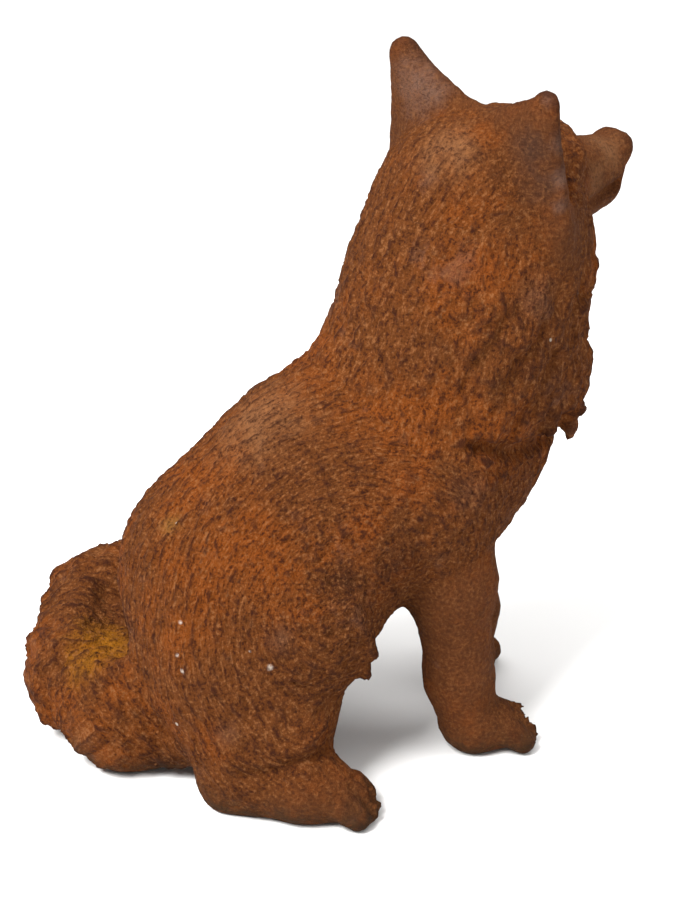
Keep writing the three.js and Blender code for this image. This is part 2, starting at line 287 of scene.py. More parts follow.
@dataclass
class Form:
    """The fox's form: clay masses for its trunk, legs, brush and head, and the locks on them."""

    pose: Pose = field(default_factory=Pose)
    cell: float = 2.25
    ruff: Tuft = Tuft(23.0, 10.0, 3.0, 90.0)
    cheek: Tuft = Tuft(22.0, 10.0, 6.0, 70.0)
    fringe: Tuft = Tuft(11.0, 7.0, 2.0, 80.0)
    brush: Tuft = Tuft(24.0, 11.0, -2.0, 54.0)
    left_ear_tip: tuple[float, float] = (5.0, 70.0)
    right_ear_tip: tuple[float, float] = (2.2, 73.5)
    crease_line: tuple[tuple[float, float, float], ...] = (
        (-76.0, 92.0, 36.0),
        (-57.0, 96.0, 37.0),
        (-43.0, 98.0, 42.0),
        (-22.0, 90.0, 44.0),
        (-12.0, 78.0, 46.0),
    )
    crease_radius: float = 2.6
    ruff_rows: int = 5
    ruff_top: float = 304.0
    ruff_drop: float = 17.0
    ruff_spread: float = 112.0
    ruff_step: float = 24.0
    ruff_flare: float = 0.4
    cheek_count: int = 5
    fringe_count: int = 4
    brush_rings: int = 8
    brush_round: int = 6
    ledge_height: float = 199.0
    ledge_rise: float = 1.5
    ledge_radius: float = 5.0
    ledge_steps: int = 14
    ledge_pitch: float = 15.0
    cleft_radius: float = 3.2
    cleft_tilts: tuple[float, ...] = (1.3, 0.9, 0.5, 0.1, -0.3)
    toe_count: int = 4
    toe_pitch: float = 8.0
    toe_radius: float = 8.0
    toe_length: float = 12.0
    trunk_line: list[tuple[Place, float]] = field(default_factory=lambda: [
        (at(-60, 0, 72), 62.0),
        (at(-48, 0, 117), 70.0),
        (at(3, 0, 165), 69.0),
        (at(52, 0, 197), 64.5),
        (at(72, 0, 262), 58.5),
        (at(83, 2, 304), 55.0),
        (at(93, 5, 330), 46.0),
    ])
    chest_line: list[tuple[Place, float]] = field(default_factory=lambda: [
        (at(98, 6, 292), 50.0),
        (at(111, 2, 240), 40.0),
        (at(101, 0, 192), 28.0),
        (at(88, 0, 148), 27.0),
    ])
    right_leg: list[tuple[Place, float]] = field(default_factory=lambda: [
        (at(54, -34, 185), 38.0),
        (at(68, -37, 115), 25.0),
        (at(74, -39, 50), 19.0),
        (at(80, -40, 20), 18.0),
    ])
    left_leg: list[tuple[Place, float]] = field(default_factory=lambda: [
        (at(64, 34, 185), 38.0),
        (at(91, 35, 115), 23.0),
        (at(103, 34, 55), 18.0),
        (at(102, 34, 20), 18.0),
    ])
    tail_line: list[tuple[Place, float]] = field(default_factory=lambda: [
        (at(-104, -6, 60), 28.0),
        (at(-126, 4, 34), 36.0),
        (at(-141, 48, 36), 37.0),
        (at(-119, 102, 43), 41.0),
        (at(-74, 124, 38), 33.0),
        (at(-30, 122, 24), 16.0),
    ])

    @staticmethod
    def chain(stations: list[tuple[Place, float]], blend: float) -> list[Limb]:
        """Runs limbs through stations of place and radius.

        Args:
            stations: The places and radii in order.
            blend: Width of the soft joints.

        Returns:
            One limb between each two stations.
        """
        pairs = zip(stations[:-1], stations[1:])
        return [Limb(a, b, ra, rb, blend) for (a, ra), (b, rb) in pairs]

    @classmethod
    def groove(cls, places: list[Place], radius: float, blend: float) -> list[Limb]:
        """Runs limbs of one radius through places."""
        return cls.chain([(place, radius) for place in places], blend)

    def paw(self, heel: Place, ball: Place, heel_radius: float, ball_radius: float) -> list[Limb]:
        """Makes a pad from heel to ball and a row of toes.

        Args:
            heel: Middle of the heel.
            ball: Middle of the ball of the foot.
            heel_radius: Radius at the heel.
            ball_radius: Radius at the ball.

        Returns:
            The paw's limbs.
        """
        ahead = unit((ball - heel) * np.array([1.0, 1.0, 0.0]))
        sideways = np.array([-ahead[1], ahead[0], 0.0])
        limbs = [Limb(heel, ball, heel_radius, ball_radius, 10.0)]
        for i in range(self.toe_count):
            offset = i - (self.toe_count - 1) / 2.0
            root = ball + sideways * (offset * self.toe_pitch)
            tip = root + ahead * (self.toe_length - 2.0 * offset * offset)
            tip[2] = self.toe_radius
            limbs.append(Limb(root, tip, self.toe_radius + 1.0, self.toe_radius, 2.0))
        return limbs

    def paws(self) -> list[tuple[Place, Place, float, float]]:
        """Gives each paw's heel, ball and radii there."""
        hind = [(at(-34, 84 * side, 18), at(-10, 94 * side, 14), 20.0, 16.0) for side in SIDES]
        right = (at(86, -41, 15), at(105, -43, 14), 18.0, 15.0)
        left = (at(104, 38, 15), at(112, 53, 13), 18.0, 15.0)
        return [*hind, right, left]

    def clefts(self, clay: Clay) -> list[Limb]:
        """Gives the cuts that part the toes of every paw, from the top of the ball over to the sole.

        Args:
            clay: The form that they are cut into.

        Returns:
            The cuts.
        """
        limbs = []
        for heel, ball, _, _ in self.paws():
            ahead = unit((ball - heel) * np.array([1.0, 1.0, 0.0]))
            sideways = np.array([-ahead[1], ahead[0], 0.0])
            for i in range(self.toe_count - 1):
                root = ball + sideways * ((i - (self.toe_count - 2) / 2.0) * self.toe_pitch)
                places = []
                for tilt in self.cleft_tilts:
                    outward = ahead * math.cos(tilt) + at(0.0, 0.0, math.sin(tilt))
                    places.append(clay.surface(root, outward, 40.0) - outward)
                limbs += self.groove(places, self.cleft_radius, 1.5)
        return limbs

    def creases(self) -> list[Limb]:
        """Gives the cuts where the hair of each thigh ends over the hind foot."""
        limbs = []
        for side in SIDES:
            places = [at(forward, left * side, up) for forward, left, up in self.crease_line]
            limbs += self.groove(places, self.crease_radius, 5.0)
        return limbs

    def body(self) -> list[Limb]:
        """Gives the masses of trunk, legs and brush, in the order they are joined."""
        limbs = self.chain(self.trunk_line, 30.0) + self.chain(self.chest_line, 24.0)
        for side in SIDES:
            limbs += self.thigh(side)
        limbs += self.chain(self.right_leg, 13.0)
        limbs += self.paw(*self.paws()[2])
        limbs += self.chain(self.left_leg, 13.0)
        limbs += self.paw(*self.paws()[3])
        limbs.append(Limb(at(-98, -22, 24), at(-118, -4, 26), 20.0, 26.0, 14.0))
        return limbs + self.chain(self.tail_line, 14.0)

    def thigh(self, side: float) -> list[Limb]:
        """Gives one thigh, shank and hind foot."""
        across = at(0.0, 1.0, 0.0)
        limbs = [
            Limb(at(-52, 50 * side, 80), at(-33, 58 * side, 100), 58.0, 42.0, 22.0, across, 0.7),
            Limb(at(-58, 60 * side, 40), at(-44, 69 * side, 46), 36.0, 28.0, 18.0),
            Limb(at(-72, 63 * side, 14), at(-34, 84 * side, 20), 20.0, 21.0, 12.0),
        ]
        return limbs + self.paw(*self.paws()[SIDES.index(side)])

    def ear(self, side: float) -> list[Limb]:
        """Gives the three ridges that one ear is made of."""
        face = self.pose.direction(1.0, 0.15 * side, 0.0)
        on = self.pose.place
        tip, rise = self.left_ear_tip if side > 0 else self.right_ear_tip
        return [
            Limb(on(-4, 12 * side, 37), on(-8, 50 * side, rise), 19.0, tip, 6.0, face, 0.55),
            Limb(on(-4, 30 * side, 32), on(-8, 52 * side, rise), 23.0, tip + 1.0, 6.0, face, 0.55),
            Limb(on(3, 48 * side, 4), on(-8, 55 * side, rise - 2.0), 21.0, tip + 1.0, 8.0, face, 0.55),
        ]

    def head(self) -> tuple[list[Limb], list[Limb]]:
        """Gives the head.

        Returns:
            The masses, and the cuts for ear hollows, eyes and mouth.
        """
        on = self.pose.place
        masses = [
            Limb(on(-4, 0, 1), on(24, 0, 2), 49.0, 41.0, 26.0),
            Limb(on(40, 0, -9), on(108, 0, -14), 28.0, 18.0, 18.0),
            Limb(on(44, 0, -32), on(107, 0, -27), 20.0, 16.0, 12.0),
            Limb(on(123, -4, -6), on(123, 4, -6), 10.0, 10.0, 4.0),
        ]
        cuts = []
        for side in SIDES:
            face = self.pose.direction(1.0, 0.15 * side, 0.0)
            masses.append(Limb(on(6, 32 * side, -18), on(32, 29 * side, -32), 30.0, 25.0, 20.0))
            masses.append(Limb(on(56, 10 * side, 21), on(44, 30 * side, 19), 10.0, 10.0, 8.0))
            masses += self.ear(side)
            cuts.append(Limb(on(16, 42 * side, 16), on(4, 51 * side, 54), 11.0, 5.0, 5.0, face, 0.6))
            cuts.append(Limb(on(64, 20 * side, 6), on(56, 27 * side, 6), 7.0, 6.0, 4.0))
            cuts.append(Limb(on(66, 25 * side, -26), on(116, 14 * side, -21), 4.0, 3.0, 4.0))
            cuts.append(Limb(on(130, 6 * side, -5), on(126, 9 * side, -7), 2.2, 2.6, 2.0))
        return masses, cuts

    def eyes(self) -> list[Limb]:
        """Gives the eyeballs, set into the sockets."""
        on = self.pose.place
        return [Limb(on(55, 22 * side, 6), on(54, 24 * side, 6), 7.5, 7.5, 1.5) for side in SIDES]

    def locks(self, clay: Clay) -> list[Limb]:
        """Lays the big locks of ruff, cheeks, belly fringe and brush on the bare form.

        Args:
            clay: The form that they lie on.

        Returns:
            The locks as limbs.
        """
        scatter = Scatter(11)
        found: list[Limb] = []

        def lay(inside: Place, outward: Place, flow: Place, size: Tuft) -> None:
            """Roots one lock in the skin and lays it roughly along the flow."""
            lean = unit(flow + np.cross(outward, flow) * (scatter.vary(0.4) - 1.0))
            radius = size.radius * scatter.vary(0.25)
            root = clay.surface(inside, outward, size.reach) - outward * (radius * 0.6)
            tip = root + lean * (size.length * scatter.vary(0.3))
            tip = tip + outward * (size.proud * scatter.vary(0.6))
            found.append(Limb(root, tip, radius, radius * 0.45, 5.0))

        for row in range(self.ruff_rows):
            spread = self.ruff_spread * (1.0 - 0.02 * row)
            proud = self.ruff.proud + self.ruff_flare * row
            size = Tuft(self.ruff.length, self.ruff.radius, proud, self.ruff.reach)
            turn = (row % 2) * self.ruff_step / 2.0 - spread
            while turn <= spread:
                angle = math.radians(turn + self.pose.turn * 0.4 * (1.0 - row / self.ruff_rows))
                outward = unit(at(math.cos(angle), math.sin(angle), -0.15))
                flow = unit(at(math.cos(angle) - 1.0, math.sin(angle) * 0.3, -2.0))
                lay(at(90, 4, self.ruff_top - self.ruff_drop * row), outward, flow, size)
                turn += self.ruff_step
        for side in SIDES:
            for i in range(self.cheek_count):
                outward = self.pose.direction(0.75 - 0.3 * i, side, -0.55 - 0.12 * i)
                flow = self.pose.direction(-0.5, 0.15 * side, -1.0)
                lay(self.pose.place(8, 18 * side, -18), outward, flow, self.cheek)
            for i in range(self.fringe_count):
                angle = math.radians(52.0 - 15.0 * i)
                outward = unit(at(math.cos(angle), 0.55 * side, math.sin(angle)))
                lay(at(-40, 46 * side, 84), outward, unit(at(0.5, 0.1 * side, -1.0)), self.fringe)
        self._brush_locks(lay)
        return found

    def _brush_locks(self, lay: Callable[[Place, Place, Place, Tuft], None]) -> None:
        """Lays the locks of the brush ring by ring along its middle line.

        Args:
            lay: Lays one lock, from a place inside, the way out, the flow and the lock's sizes.
        """
        line = np.array([place for place, _ in self.tail_line])
        step = np.concatenate([[0.0], np.cumsum(np.linalg.norm(np.diff(line, axis=0), axis=1))])
        down = at(0.0, 0.0, -1.0)
        for ring in range(self.brush_rings):
            share = (0.3 + 0.6 * ring / (self.brush_rings - 1)) * step[-1]
            here = np.array([np.interp(share, step, line[:, i]) for i in range(3)])
            ahead = np.array([np.interp(share + 12.0, step, line[:, i]) for i in range(3)])
            along = unit(ahead - here)
            outside = unit(np.cross(along, down))
            for i in range(self.brush_round):
                angle = math.radians(-25.0 + 26.0 * i + 13.0 * (ring % 2))
                outward = outside * math.cos(angle) - down * math.sin(angle)
                turning = outside * math.sin(angle) + down * math.cos(angle)
                lay(here, unit(outward), unit(along * 0.8 + turning * 0.4), self.brush)

    def model(self) -> Clay:
        """Models the whole fox in clay."""
        clay = Clay(at(216, -134, -14), at(-210, 190, 450), self.cell)
        masses, cuts = self.head()
        for limb in self.body() + masses:
            clay.add(limb)
        cuts += self.ledge(clay)
        for limb in self.locks(clay):
            clay.add(limb)
        for limb in cuts + self.clefts(clay) + self.creases():
            clay.cut(limb)
        for limb in self.eyes():
            clay.add(limb)
        clay.cut(Limb(at(-126, 11, 84), at(-118, 56, 88), 19.0, 22.0, 12.0))
        clay.level()
        return clay

    def ledge(self, clay: Clay) -> list[Limb]:
        """Gives the groove that undercuts the lower edge of the ruff.

        Args:
            clay: The form that it is cut into.

        Returns:
            The cuts, from the right side round to the left.
        """
        places = []
        for i in range(self.ledge_steps + 1):
            angle = math.radians(self.ledge_pitch * (i - self.ledge_steps / 2))
            outward = at(math.cos(angle), math.sin(angle), 0.0)
            inside = at(90, 4, self.ledge_height + self.ledge_rise * angle ** 4)
            places.append(clay.surface(inside, outward, 90.0))
        return self.groove(places, self.ledge_radius, 4.0)


@dataclass
class Coat:
    """How the hair lies: for each part of the fox, how far along the lie and across it a place is."""

    form: Form
    hub: Place = field(default_factory=lambda: at(2.0, 0.0, 138.0))
    hub_radius: float = 80.0
    neck_start: int = 3

    def nearness(self, places: np.ndarray) -> np.ndarray:
        """Measures how near each part's own masses are.

        Args:
            places: One row of three millimetres a place.

        Returns:
            One column of distances for each part of the coat.
        """
        form = self.form
        x, y, z = places.T.astype(np.float32)
        chains = {
            Hide.FLANK: form.chain(form.trunk_line[:self.neck_start + 1], 1.0) + [
                limb for side in SIDES for limb in form.thigh(side)[:2]],
            Hide.NECK: form.chain(form.trunk_line[self.neck_start:], 1.0)
            + form.chain(form.chest_line[:3], 1.0),
            Hide.HEAD: form.head()[0][:1],
            Hide.MUZZLE: form.head()[0][1:4],
            Hide.EAR: form.ear(1.0) + form.ear(-1.0),
            Hide.LEG: form.chain(form.right_leg[1:], 1.0) + form.chain(form.left_leg[1:], 1.0) + [
                limb for side in SIDES for limb in form.thigh(side)[2:]]
            + form.paw(*form.paws()[2]) + form.paw(*form.paws()[3]),
            Hide.BRUSH: form.chain(form.tail_line, 1.0),
        }
        columns = [np.min([limb.depth(x, y, z) for limb in chains[part]], axis=0) for part in Hide]
        return np.stack(columns, axis=1)

    def lie(self, places: np.ndarray, part: Hide) -> np.ndarray:
        """Gives the place's coordinates along and across the hair, for one part of the coat.

        Args:
            places: One row of three millimetres a place.
            part: The part of the coat.

        Returns:
            One row of two millimetres a place.
        """
        if part is Hide.FLANK:
            rel = places - self.hub
            radius = np.hypot(rel[:, 1], rel[:, 2])
            angle = np.arctan2(rel[:, 2], rel[:, 1])
            return np.stack([angle * self.hub_radius, radius - np.abs(rel[:, 0])], axis=1)
        if part is Hide.BRUSH:
            along, angle = self._round(places, self.form.tail_line)
            return np.stack([angle * 38.0, along], axis=1)
        if part is Hide.NECK:
            along, angle = self._round(places, self.form.trunk_line[self.neck_start:])
            return np.stack([along, angle * 56.0], axis=1)
        if part is Hide.LEG:
            return np.stack([places[:, 2], places[:, 0] - places[:, 1]], axis=1)
        inverse = np.array(self.form.pose.matrix().inverted())
        local = places @ inverse[:3, :3].T + inverse[:3, 3]
        angle = np.arctan2(local[:, 0], local[:, 2] + 60.0)
        return np.stack([local[:, 1], angle * 95.0], axis=1)

    @staticmethod
    def _round(places: np.ndarray, line: list[tuple[Place, float]]) -> tuple[np.ndarray, np.ndarray]:
        """Tells places by how far along a line they are and how far round it.

        Args:
            places: One row of three millimetres a place.
            line: The stations of the line.

        Returns:
            The millimetres along, and the angle round in radians.
        """
        best = np.full(len(places), 1e9)
        along = np.zeros(len(places))
        angle = np.zeros(len(places))
        run = 0.0
        for (start, _), (end, _) in zip(line[:-1], line[1:]):
            axis = end - start
            length = float(np.linalg.norm(axis))
            share = np.clip((places - start) @ axis / (length * length), 0.0, 1.0)
            off = places - start - share[:, None] * axis
            reach = np.linalg.norm(off, axis=1)
            upward = unit(np.cross(axis, at(0.0, 1.0, 0.3)))
            level = unit(np.cross(axis, upward))
            nearer = reach < best
            best = np.where(nearer, reach, best)
            along = np.where(nearer, run + share * length, along)
            angle = np.where(nearer, np.arctan2(off @ upward, off @ level), angle)
            run += length
        return along, angle


class Tree:
    """A node tree being built: adds nodes, sets their values and joins them."""

    def __init__(self, tree: bpy.types.NodeTree) -> None:
        """Takes the tree to build in."""
        self.tree = tree

    def node(self, kind: str, inputs: dict | None = None, **settings) -> bpy.types.Node:
        """Adds one node.

        Args:
            kind: The node's type.
            inputs: Sockets by name or number, each with a value or a socket to join.
            **settings: Properties of the node itself.

        Returns:
            The node.
        """
        made = self.tree.nodes.new(kind)
        for name, value in settings.items():
            setattr(made, name, value)
        for name, value in (inputs or {}).items():
            if isinstance(value, bpy.types.NodeSocket):
                self.tree.links.new(value, made.inputs[name])
            else:
                made.inputs[name].default_value = value
        return made

    def math(self, operation: str, a: object, b: object = 0.0, clamp: bool = False) -> bpy.types.NodeSocket:
        """Adds a sum of two numbers and gives its result."""
        kind = "ShaderNodeMath"
        return self.node(kind, {0: a, 1: b}, operation=operation, use_clamp=clamp).outputs[0]

    def ramp(
        self, value: object, low: float, high: float, to_low: float = 0.0, to_high: float = 1.0,
    ) -> bpy.types.NodeSocket:
        """Maps a value smoothly from one range to another and gives the result."""
        inputs = {0: value, 1: low, 2: high, 3: to_low, 4: to_high}
        return self.node("ShaderNodeMapRange", inputs, interpolation_type="SMOOTHSTEP").outputs[0]

    def noise(
        self, vector: object, scale: float, detail: float = 3.0, rough: float = 0.55, seed: float = 0.0,
    ) -> bpy.types.NodeSocket:
        """Adds a noise of the given scale and gives its value from nothing to one."""
        inputs = {"Vector": vector, "W": seed, "Scale": scale, "Detail": detail, "Roughness": rough}
        return self.node("ShaderNodeTexNoise", inputs, noise_dimensions="4D").outputs[0]

    def stretch(self, vector: object, scale: tuple[float, float, float]) -> bpy.types.NodeSocket:
        """Multiplies a vector by a scale along each axis."""
        return self.node("ShaderNodeVectorMath", {0: vector, 1: scale}, operation="MULTIPLY").outputs[0]


@dataclass(frozen=True)
class Relief:
    """The carved hair: short strokes along the lie, and the grain of the sand mould, in metres."""

    stroke_length: float = 0.011
    stroke_width: float = 0.0042
    stroke_depth: float = 0.0013
    grain_size: float = 0.007
    grain_depth: float = 0.0008
    seed: int = 4

    def build(self, material: bpy.types.Material) -> bpy.types.NodeTree:
        """Builds the tree that raises the strokes on the skin.

        Args:
            material: The finish that the result carries.

        Returns:
            The node tree, with the sizes as named inputs.
        """
        group = bpy.data.node_groups.new("carved_coat", "GeometryNodeTree")
        face = group.interface
        face.new_socket("Geometry", in_out="INPUT", socket_type="NodeSocketGeometry")
        for name in self.sizes():
            face.new_socket(name, in_out="INPUT", socket_type="NodeSocketFloat")
        face.new_socket("Geometry", in_out="OUTPUT", socket_type="NodeSocketGeometry")
        tree = Tree(group)
        given = tree.node("NodeGroupInput").outputs
        named = "GeometryNodeInputNamedAttribute"
        lie = tree.node(named, {"Name": "lie"}, data_type="FLOAT_VECTOR").outputs[0]
        amount = tree.node(named, {"Name": "coat"}, data_type="FLOAT").outputs[0]
        ground = tree.node(named, {"Name": "clear"}, data_type="FLOAT").outputs[0]
        place = tree.node("GeometryNodeInputPosition").outputs[0]
        parts = tree.node("ShaderNodeSeparateXYZ", {0: lie}).outputs
        sway = tree.noise(place, 60.0, 2.0, 0.5, self.seed + 3.0)
        sway = tree.math("MULTIPLY", tree.math("SUBTRACT", sway, 0.5), 0.012)
        across = tree.math("ADD", parts[1], sway)
        u = tree.math("DIVIDE", parts[0], given["Stroke length"])
        v = tree.math("DIVIDE", across, given["Stroke width"])
        cell = tree.node("ShaderNodeCombineXYZ", {0: u, 1: v, 2: parts[2]}).outputs[0]
        strokes = tree.noise(cell, 1.0, 2.0, 0.6, float(self.seed))
        strokes = tree.ramp(strokes, 0.34, 0.66, -1.0, 1.0)
        size = tree.math("DIVIDE", 1.0, given["Grain size"])
        grain = tree.node("ShaderNodeTexNoise", {
            "Vector": place, "W": self.seed + 1.0, "Scale": size, "Detail": 2.0, "Roughness": 0.6,
        }, noise_dimensions="4D").outputs[0]
        grain = tree.math("MULTIPLY", tree.math("SUBTRACT", grain, 0.5), 2.0)
        raised = tree.math("MULTIPLY", tree.math("MULTIPLY", strokes, amount), given["Stroke depth"])
        grained = tree.math("MULTIPLY", grain, given["Grain depth"])
        height = tree.math("MULTIPLY", tree.math("ADD", raised, grained), ground)
        normal = tree.node("GeometryNodeInputNormal").outputs[0]
        offset = tree.node("ShaderNodeVectorMath", {0: normal, "Scale": height}, operation="SCALE").outputs[0]
        moved = tree.node("GeometryNodeSetPosition", {
            "Geometry": given["Geometry"], "Offset": offset,
        }).outputs[0]
        kept = tree.node("GeometryNodeStoreNamedAttribute", {
            "Geometry": moved, "Name": "stroke", "Value": strokes,
        }, data_type="FLOAT", domain="POINT").outputs[0]
        whole = tree.node("GeometryNodeRealizeInstances", {"Geometry": kept}).outputs[0]
        dressed = tree.node("GeometryNodeSetMaterial", {"Geometry": whole, "Material": material}).outputs[0]
        tree.node("NodeGroupOutput", {"Geometry": dressed})
        return group

    def sizes(self) -> dict[str, float]:
        """Gives the tree's inputs by name."""
        return {
            "Stroke length": self.stroke_length,
            "Stroke width": self.stroke_width,
            "Stroke depth": self.stroke_depth,
            "Grain size": self.grain_size,
            "Grain depth": self.grain_depth,
        }

    def carve(self, piece: bpy.types.Object, material: bpy.types.Material) -> None:
        """Carves the strokes into a piece and leaves a plain mesh.

        Args:
            piece: The piece with its lie of hair in attributes.
            material: Its finish.
        """
        group = self.build(material)
        modifier = piece.modifiers.new("carved_coat", "NODES")
        modifier.node_group = group
        sizes = self.sizes()
        for item in group.interface.items_tree:
            if item.in_out == "INPUT" and item.name in sizes:
                modifier[item.identifier] = sizes[item.name]
        graph = bpy.context.evaluated_depsgraph_get()
        mesh = bpy.data.meshes.new_from_object(piece.evaluated_get(graph))
        piece.modifiers.remove(modifier)
        old = piece.data
        piece.data = mesh
        bpy.data.meshes.remove(old)
        mesh.name = piece.name


@dataclass(frozen=True)
class Stain:
    """A patch of another colour: its middle and radius in millimetres, and its strength."""

    place: tuple[float, float, float]
    radius: float
    strength: float
    colour: tuple[float, float, float]


OCHRE = (0.270, 0.100, 0.0050)
STRAW = (0.190, 0.090, 0.020)
BLOOM = (0.190, 0.045, 0.006)
STEEL = (0.100, 0.046, 0.026)
SLATE = (0.060, 0.028, 0.017)
ROSE = (0.175, 0.098, 0.070)
# Sandy grey-brown for patches on head and muzzle, also laid as painted light on the top of the back.
SAND_AND_LIGHT = (0.190, 0.085, 0.036)
# Near-black brown, laid as painted shade on the belly and in the pocket between brush and hind foot.
PAINTED_SHADE = (0.030, 0.011, 0.006)
LIME = (0.62, 0.54, 0.46)


@dataclass(frozen=True)
class RustedIron:
    """Old bare iron, rusted all over: brown, with orange bloom, pitting and worn grey places, and painted
    shade in the stroke troughs, the grain's low places and the skin's hollows, with a painted highlight on
    the grain's ridges.
    """

    brown: tuple[float, float, float] = (0.105, 0.032, 0.0075)
    orange: tuple[float, float, float] = (0.175, 0.043, 0.0055)
    # Deep red-brown, laid in the grain's pitting and as painted shade in the stroke troughs and hollows.
    pit_and_shade_dark: tuple[float, float, float] = (0.030, 0.0085, 0.0040)
    worn: tuple[float, float, float] = (0.115, 0.056, 0.036)
    # Golden brown for the grain's ridges: partly their own tone, partly a painted highlight.
    pale: tuple[float, float, float] = (0.230, 0.092, 0.032)
    # Greenish near-black laid over the lowest part of the casting.
    low_dark: tuple[float, float, float] = (0.022, 0.018, 0.010)
    chip: tuple[float, float, float] = (0.60, 0.52, 0.42)
    gloss: float = 0.05
    grain_depth: float = 0.006

    def material(self, stains: list[Stain], shift: Place) -> bpy.types.Material:
        """Builds the finish.

        Args:
            stains: Patches of other colours.
            shift: What turns the form's millimetres into the piece's place.

        Returns:
            The material.
        """
        made = bpy.data.materials.new("rusted_iron")
        made.use_nodes = True
        made.node_tree.nodes.clear()
        tree = Tree(made.node_tree)
        here = tree.node("ShaderNodeTexCoord").outputs["Object"]
        lie = tree.node("ShaderNodeAttribute", attribute_name="lie").outputs["Vector"]
        stroke = tree.node("ShaderNodeAttribute", attribute_name="stroke").outputs["Fac"]
        # Depth of each dip in the skin, read for the painted shade in the hollows.
        hollow_shade = tree.node("ShaderNodeAttribute", attribute_name="hollow_shade").outputs["Fac"]
        coat = tree.node("ShaderNodeAttribute", attribute_name="coat").outputs["Fac"]

        def mix(a: object, b: object, share: object) -> bpy.types.NodeSocket:
            """Lays colour b over colour a."""
            node = tree.node("ShaderNodeMix", data_type="RGBA")
            for socket, value in ((node.inputs[0], share), (node.inputs[6], a), (node.inputs[7], b)):
                if isinstance(value, bpy.types.NodeSocket):
                    tree.tree.links.new(value, socket)
                else:
                    socket.default_value = (*value, 1.0) if isinstance(value, tuple) else value
            return node.outputs[2]

        hairy = tree.ramp(coat, 0.1, 0.8, 0.25, 1.0)
        fine = tree.noise(tree.stretch(lie, (120.0, 400.0, 1.0)), 1.0, 4.0, 0.65, 2.0)
        grit = tree.noise(here, 480.0, 4.0, 0.7, 5.0)
        combed = tree.math("MULTIPLY", hairy, 0.45)
        tone = tree.node("ShaderNodeMix", {0: combed, 2: grit, 3: fine}).outputs[0]
        bloom = tree.ramp(tree.noise(here, 14.0, 6.0, 0.66, 1.0), 0.46, 0.66)
        wear = tree.ramp(tree.noise(here, 24.0, 5.0, 0.65, 8.0), 0.56, 0.70)
        bare = tree.ramp(coat, 0.5, 0.1, 0.0, 0.12)
        colour = mix(self.brown, self.orange, tree.math("MULTIPLY", bloom, 0.85))
        colour = mix(colour, self.worn, tree.math("ADD", tree.math("MULTIPLY", wear, 0.5), bare, True))
        ragged = tree.noise(here, 90.0, 5.0, 0.7, 3.0)
        for stain in stains:
            colour = mix(colour, stain.colour, self._patch(tree, here, ragged, stain, shift))
        # Painted shade: the troughs of the carved strokes are darkened where shade falls in them.
        trough_shade = tree.math("MULTIPLY", tree.ramp(stroke, 0.0, -1.0, 0.0, 0.4), hairy)
        colour = mix(colour, self.pit_and_shade_dark, trough_shade)
        shown = tree.math("POWER", hairy, 0.6)
        # The grain's low places go deep brown: partly the rust's own pitting, partly painted shade where the
        # bump from the same tone dips.
        pits_and_shade = tree.ramp(tone, 0.505, 0.40, 0.0, 0.85)
        colour = mix(colour, self.pit_and_shade_dark, tree.math("MULTIPLY", pits_and_shade, shown))
        # The grain's ridges go golden: partly the rust's own tone, partly a painted highlight where the bump
        # from the same tone rises.
        crests_and_highlight = tree.ramp(tone, 0.51, 0.61, 0.0, 0.7)
        colour = mix(colour, self.pale, tree.math("MULTIPLY", crests_and_highlight, shown))
        # Painted shade: the skin's hollows are darkened where occlusion shade falls.
        colour = mix(colour, self.pit_and_shade_dark, tree.ramp(hollow_shade, 0.1, 0.9, 0.0, 0.7))
        height = tree.node("ShaderNodeSeparateXYZ", {0: here}).outputs[2]
        # Darker towards the bottom: below 3 cm the colour goes towards a greenish near-black, with a ragged
        # edge.
        foot = tree.math("MULTIPLY", tree.ramp(height, 0.03, 0.0), tree.ramp(ragged, 0.35, 0.6))
        colour = mix(colour, self.low_dark, tree.math("MULTIPLY", foot, 0.7))
        cells = tree.node("ShaderNodeTexVoronoi", {"Vector": here, "Scale": 110.0}).outputs
        rare = tree.node("ShaderNodeSeparateColor", {0: cells["Color"]}).outputs[0]
        spot = tree.math("MULTIPLY", tree.ramp(cells["Distance"], 0.16, 0.08), tree.ramp(rare, 0.990, 0.994))
        colour = mix(colour, self.chip, tree.math("MULTIPLY", spot, 0.6))
        bump = tree.node("ShaderNodeBump", {
            "Strength": 1.0, "Distance": self.grain_depth, "Height": tone,
        }).outputs[0]
        rough = tree.ramp(grit, 0.2, 0.8, 0.78, 0.97)
        shader = tree.node("ShaderNodeBsdfPrincipled", {
            "Base Color": colour,
            "Roughness": rough,
            "Metallic": 0.0,
            "Specular IOR Level": self.gloss,
            "Normal": bump,
        }).outputs[0]
        tree.node("ShaderNodeOutputMaterial", {"Surface": shader})
        return made

    @staticmethod
    def _patch(tree: Tree, here: object, ragged: object, stain: Stain, shift: Place) -> bpy.types.NodeSocket:
        """Gives how strongly a stain covers each place, with a ragged edge.

        Args:
            tree: The material's tree.
            here: The place in metres.
            ragged: A noise that roughens the edge.
            stain: The patch.
            shift: What turns the form's millimetres into the piece's place.

        Returns:
            The cover, from nothing to the stain's strength.
        """
        middle = [value * MM for value in np.array(stain.place) + shift]
        away = tree.node("ShaderNodeVectorMath", {0: here, 1: middle}, operation="DISTANCE").outputs["Value"]
        radius = stain.radius * MM
        edge = tree.math("ADD", away, tree.math("MULTIPLY", ragged, radius * 1.4))
        return tree.ramp(edge, radius * 1.7, radius * 0.6, 0.0, stain.strength)


